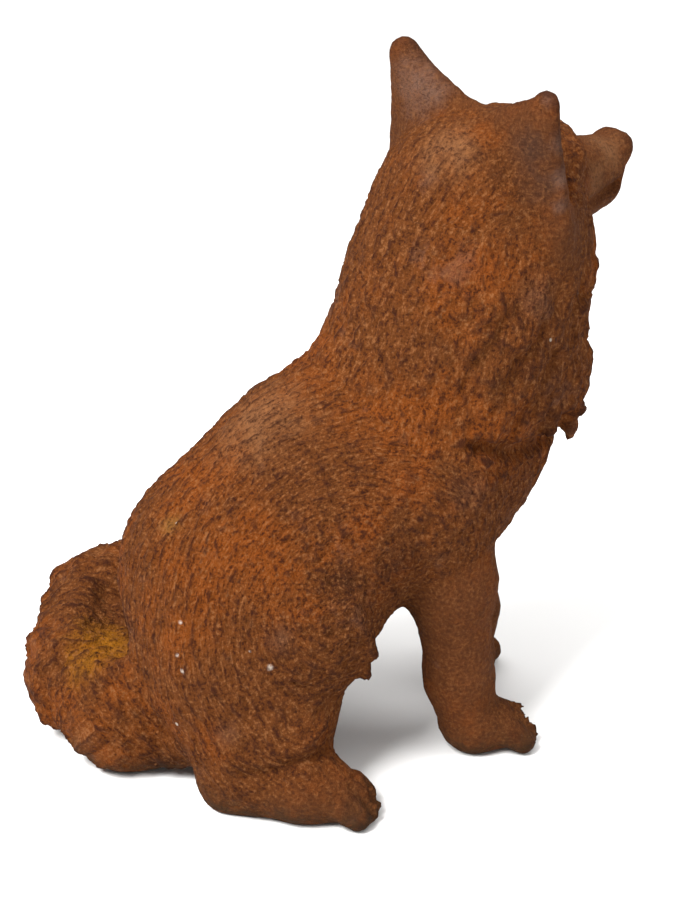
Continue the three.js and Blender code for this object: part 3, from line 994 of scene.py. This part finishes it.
@dataclass
class Fox:
    """The statue: its form skinned, its coat carved and its rust laid on."""

    form: Form = field(default_factory=Form)
    relief: Relief = field(default_factory=Relief)
    finish: RustedIron = field(default_factory=RustedIron)
    depths: dict[Hide, float] = field(default_factory=lambda: {
        Hide.FLANK: 1.0,
        Hide.NECK: 1.0,
        Hide.HEAD: 0.6,
        Hide.EAR: 0.1,
        Hide.LEG: 0.22,
        Hide.BRUSH: 1.25,
        Hide.MUZZLE: 0.15,
    })
    stains: list[Stain] = field(default_factory=lambda: [
        Stain((24.0, 132.0, 66.0), 34.0, 0.95, OCHRE),
        Stain((2.0, 148.0, 66.0), 22.0, 0.6, OCHRE),
        Stain((-28.0, 98.0, 169.0), 11.0, 0.8, STRAW),
        Stain((-73.0, -30.0, 200.0), 22.0, 0.75, BLOOM),
        Stain((-74.0, -4.0, 180.0), 18.0, 0.6, BLOOM),
        Stain((-56.0, -72.0, 318.0), 22.0, 0.5, BLOOM),
        Stain((-74.0, -65.0, 190.0), 20.0, 0.5, STEEL),
        Stain((-86.0, 47.0, 119.0), 13.0, 0.6, STEEL),
        Stain((-87.0, 80.0, 62.0), 13.0, 0.6, STEEL),
        Stain((-62.0, -106.0, 298.0), 20.0, 0.6, STEEL),
        Stain((-51.0, -101.0, 378.0), 21.0, 0.85, SLATE),
        Stain((-55.0, -106.0, 358.0), 17.0, 0.7, SLATE),
        Stain((-60.0, -114.0, 384.0), 9.0, 0.7, ROSE),
        Stain((-56.0, -118.0, 364.0), 9.0, 0.7, ROSE),
        Stain((-55.0, -118.0, 348.0), 8.0, 0.6, ROSE),
        Stain((-61.0, -104.0, 409.0), 9.0, 0.6, ROSE),
        Stain((20.0, -60.0, 400.0), 28.0, 0.75, ROSE),
        Stain((-26.0, -63.0, 375.0), 26.0, 0.7, SAND_AND_LIGHT),
        Stain((46.0, -186.0, 350.0), 22.0, 0.85, SAND_AND_LIGHT),
        Stain((30.0, -172.0, 338.0), 18.0, 0.6, SAND_AND_LIGHT),
        # Painted light: a broad sandy patch that lightens the top of the back where the light falls.
        Stain((-15.0, 42.0, 222.0), 46.0, 0.65, SAND_AND_LIGHT),
        # Painted shade on the belly and in the pocket between brush and hind foot.
        Stain((-77.0, 8.0, 146.0), 16.0, 0.55, PAINTED_SHADE),
        Stain((-36.0, 110.0, 12.0), 18.0, 0.8, PAINTED_SHADE),
        Stain((-75.0, -24.0, 150.0), 17.0, 0.6, PAINTED_SHADE),
        Stain((-86.0, 53.0, 102.0), 2.6, 0.9, LIME),
        Stain((-83.0, 64.0, 112.0), 1.6, 0.9, LIME),
        Stain((-71.0, 100.0, 98.0), 2.2, 0.85, LIME),
        Stain((-66.0, 102.0, 106.0), 1.8, 0.85, LIME),
        Stain((-62.0, 99.0, 124.0), 1.6, 0.8, LIME),
    ])
    shift: Place = field(default_factory=lambda: at(0.0, 0.0, 0.0))

    def build(self) -> bpy.types.Object:
        """Builds the whole statue as one piece.

        Returns:
            The finished object.
        """
        clay = self.form.model()
        points, quads = clay.skin()
        log.info("skin of %d faces", len(quads))
        self.shift = -(points.min(axis=0) + points.max(axis=0)) / 2.0
        self.shift[2] = 0.0
        piece = self._mesh(points, quads, self.shift)
        self._comb(piece, points, quads)
        material = self.finish.material(self.stains, self.shift)
        self.relief.carve(piece, material)
        self._settle(piece)
        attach(piece, "root")
        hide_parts(NODE)
        return piece

    @staticmethod
    def _mesh(points: np.ndarray, quads: np.ndarray, shift: Place) -> bpy.types.Object:
        """Makes the skin's mesh in metres.

        Args:
            points: The skin's points in millimetres.
            quads: Its faces.
            shift: What sets it over the origin.

        Returns:
            The object.
        """
        mesh = bpy.data.meshes.new("fox_casting")
        mesh.vertices.add(len(points))
        mesh.vertices.foreach_set("co", ((points + shift) * MM).astype(np.float32).ravel())
        mesh.loops.add(quads.size)
        mesh.loops.foreach_set("vertex_index", quads.astype(np.int32).ravel())
        mesh.polygons.add(len(quads))
        mesh.polygons.foreach_set("loop_start", np.arange(0, quads.size, 4, dtype=np.int32))
        mesh.update(calc_edges=True)
        mesh.validate()
        mesh.shade_smooth()
        piece = bpy.data.objects.new("fox_casting", mesh)
        bpy.context.scene.collection.objects.link(piece)
        return piece

    def _comb(self, piece: bpy.types.Object, points: np.ndarray, quads: np.ndarray) -> None:
        """Writes the lie of the hair and the depth of its carving on the skin.

        Args:
            piece: The skin.
            points: Its points in millimetres.
            quads: Its faces.
        """
        coat = Coat(self.form)
        near = coat.nearness(points)
        weight = np.exp(-(near - near.min(axis=1, keepdims=True)) / 6.0)
        weight /= weight.sum(axis=1, keepdims=True)
        depth = weight @ np.array([self.depths[part] for part in Hide])
        clear = np.clip((points[:, 2] - 1.0) / 5.0, 0.0, 1.0)
        for name, values in (("coat", depth), ("clear", clear)):
            layer = piece.data.attributes.new(name, "FLOAT", "POINT")
            layer.data.foreach_set("value", values.astype(np.float32))
        owner = near[quads].sum(axis=1).argmin(axis=1)
        lie = np.zeros((len(quads), 4, 3))
        for part in Hide:
            mine = owner == part.value
            flat = coat.lie(points[quads[mine]].reshape(-1, 3), part) * MM
            lie[mine, :, :2] = flat.reshape(-1, 4, 2)
            lie[mine, :, 2] = part.value * 7.0
        wrapped = np.ptp(lie[:, :, :2], axis=1).max(axis=1) > 0.03
        lie[wrapped, :, :2] = lie[wrapped, :1, :2]
        layer = piece.data.attributes.new("lie", "FLOAT_VECTOR", "CORNER")
        layer.data.foreach_set("vector", lie.astype(np.float32).ravel())

    @staticmethod
    def _settle(piece: bpy.types.Object) -> None:
        """Keeps the soles on the ground and notes how deep each dip of the skin is, for the painted shade in
        its hollows.

        Args:
            piece: The carved skin.
        """
        mesh = piece.data
        co = np.empty(len(mesh.vertices) * 3, dtype=np.float32)
        mesh.vertices.foreach_get("co", co)
        co = co.reshape(-1, 3)
        co[:, 2] = np.maximum(co[:, 2], 0.0)
        mesh.vertices.foreach_set("co", co.ravel())
        mesh.update()
        normal = np.empty_like(co)
        mesh.vertex_normals.foreach_get("vector", normal.ravel())
        edges = np.empty(len(mesh.edges) * 2, dtype=np.int32)
        mesh.edges.foreach_get("vertices", edges)
        a, b = edges.reshape(-1, 2).T
        number = np.bincount(a, minlength=len(co)) + np.bincount(b, minlength=len(co))
        level = co.astype(float)
        for _ in range(4):
            level = np.stack([
                np.bincount(a, level[b, i], len(co)) + np.bincount(b, level[a, i], len(co)) for i in range(3)
            ], axis=1) / np.maximum(number, 1)[:, None]
        # How far each place sits below the middle of its neighbours; the finish paints shade there.
        dip = ((level - co) * normal).sum(axis=1)
        layer = mesh.attributes.new("hollow_shade", "FLOAT", "POINT")
        layer.data.foreach_set("value", np.clip(dip / 0.0015, -1.0, 1.0).astype(np.float32))


@dataclass
class Studio:
    """A pale floor, soft light and the camera, with places in metres."""

    azimuth: float = 256.0
    elevation: float = 24.0
    distance: float = 1.0
    lens: float = 70.0
    target: Place = field(default_factory=lambda: at(0.0, -29.0, 205.0))
    floor_size: float = 12.0
    floor_colour: tuple[float, float, float, float] = (0.82, 0.815, 0.805, 1.0)
    haze: float = 0.42

    def build(self, shift: Place) -> None:
        """Sets up the floor, the lights and the camera.

        Args:
            shift: What turns the form's millimetres into the piece's place.
        """
        self._floor()
        self._light("key", (-1.0, 1.4, 2.1), 1.0, 142.0)
        self._light("top", (0.7, 0.2, 4.0), 6.0, 225.0)
        self._light("fill", (-0.9, -1.9, 1.1), 1.4, 20.0)
        world = bpy.data.worlds.new("studio")
        world.use_nodes = True
        shade = world.node_tree.nodes["Background"]
        shade.inputs[0].default_value = (1.0, 1.0, 1.0, 1.0)
        shade.inputs[1].default_value = self.haze
        bpy.context.scene.world = world
        bpy.context.scene.view_settings.view_transform = "Standard"
        self._camera(Vector((self.target + shift) * MM))

    def _floor(self) -> None:
        """Lays the floor."""
        half = self.floor_size / 2.0
        mesh = bpy.data.meshes.new("floor")
        corners = [(-half, -half, 0), (half, -half, 0), (half, half, 0), (-half, half, 0)]
        mesh.from_pydata(corners, [], [(0, 1, 2, 3)])
        floor = bpy.data.objects.new("floor", mesh)
        bpy.context.scene.collection.objects.link(floor)
        made = bpy.data.materials.new("pale_floor")
        made.use_nodes = True
        shader = made.node_tree.nodes["Principled BSDF"]
        shader.inputs["Base Color"].default_value = self.floor_colour
        shader.inputs["Roughness"].default_value = 0.6
        mesh.materials.append(made)

    @staticmethod
    def _light(name: str, place: tuple[float, float, float], size: float, power: float) -> None:
        """Hangs one soft light that faces the statue.

        Args:
            name: The light's name.
            place: Where it hangs.
            size: Its width.
            power: Its watts.
        """
        data = bpy.data.lights.new(name, "AREA")
        data.size = size
        data.energy = power
        lamp = bpy.data.objects.new(name, data)
        lamp.location = place
        lamp.rotation_euler = (Vector((0.0, 0.0, 0.2)) - Vector(place)).to_track_quat("-Z", "Y").to_euler()
        bpy.context.scene.collection.objects.link(lamp)

    def _camera(self, target: Vector) -> None:
        """Sets the camera at the photograph's angle.

        Args:
            target: What it looks at, in metres.
        """
        data = bpy.data.cameras.new("camera")
        data.lens = self.lens
        data.sensor_width = 36.0
        a, e = math.radians(self.azimuth), math.radians(self.elevation)
        back = Vector((math.sin(a) * math.cos(e), -math.cos(a) * math.cos(e), math.sin(e)))
        camera = bpy.data.objects.new("camera", data)
        camera.location = target + back * self.distance
        camera.rotation_euler = (-back).to_track_quat("-Z", "Y").to_euler()
        bpy.context.scene.collection.objects.link(camera)
        bpy.context.scene.camera = camera


def main() -> None:
    """Builds the fox and its studio and notes their sizes."""
    logging.basicConfig(level=logging.INFO, format="%(name)s: %(message)s")
    fox = Fox()
    piece = fox.build()
    log.info("%s has %d faces", piece.name, len(piece.data.polygons))
    Studio().build(fox.shift)


if __name__ == "__main__":
    main()
